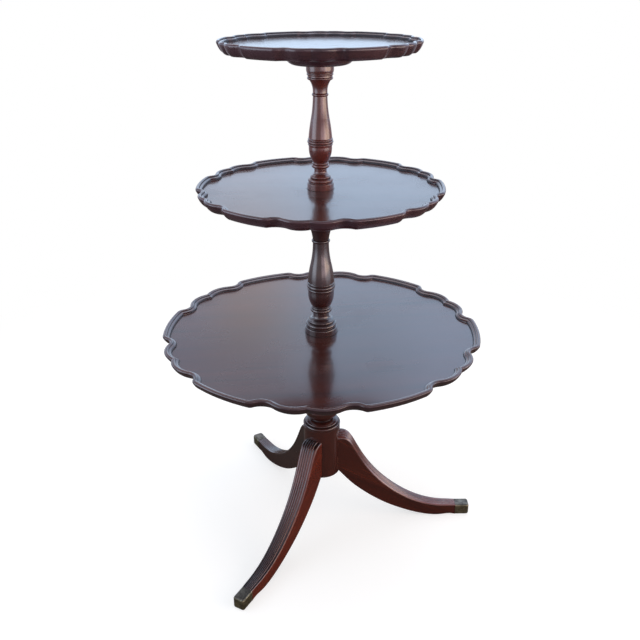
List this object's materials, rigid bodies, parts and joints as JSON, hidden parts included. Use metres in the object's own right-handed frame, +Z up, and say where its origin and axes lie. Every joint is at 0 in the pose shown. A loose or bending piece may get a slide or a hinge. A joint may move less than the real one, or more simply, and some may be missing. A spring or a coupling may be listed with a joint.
{
  "type": "tiered side table",
  "caption": "Tiered pedestal side table: round piecrust trays on turned columns, an urn pedestal and reeded sabre legs with brass toe caps, to hold things at several heights.",
  "frame": {"origin": "on the floor, on the axis of the columns", "axes": "+Z up along the columns, +X towards the right leg"},
  "size_m": [0.622, 0.608, 0.976],
  "materials": {
    "mahogany": "gloss lacquer",
    "toe_brass": "antique, dulled",
    "insert_brass": "plain",
    "steel": "zinc plated",
    "dowel_wood": "bare"
  },
  "bodies": {
    "root": {"top_tray": "mahogany", "middle_tray": "mahogany", "bottom_tray": "mahogany", "top_cleat": "mahogany", "middle_cleat": "mahogany", "bottom_cleat": "mahogany", "upper_column": "mahogany", "lower_column": "mahogany", "pedestal": "mahogany", "leg_right": "mahogany", "leg_back": "mahogany", "leg_front": "mahogany", "toe_cap_right": "toe_brass", "toe_cap_back": "toe_brass", "toe_cap_front": "toe_brass", "toe_cap_pins": "toe_brass", "top_cleat_screws": "steel", "middle_cleat_screws": "steel", "bottom_cleat_screws": "steel", "upper_stud": "steel", "lower_stud": "steel", "lower_column_insert": "insert_brass", "pedestal_insert": "insert_brass", "leg_dowels": "dowel_wood"}
  },
  "joints": []
}
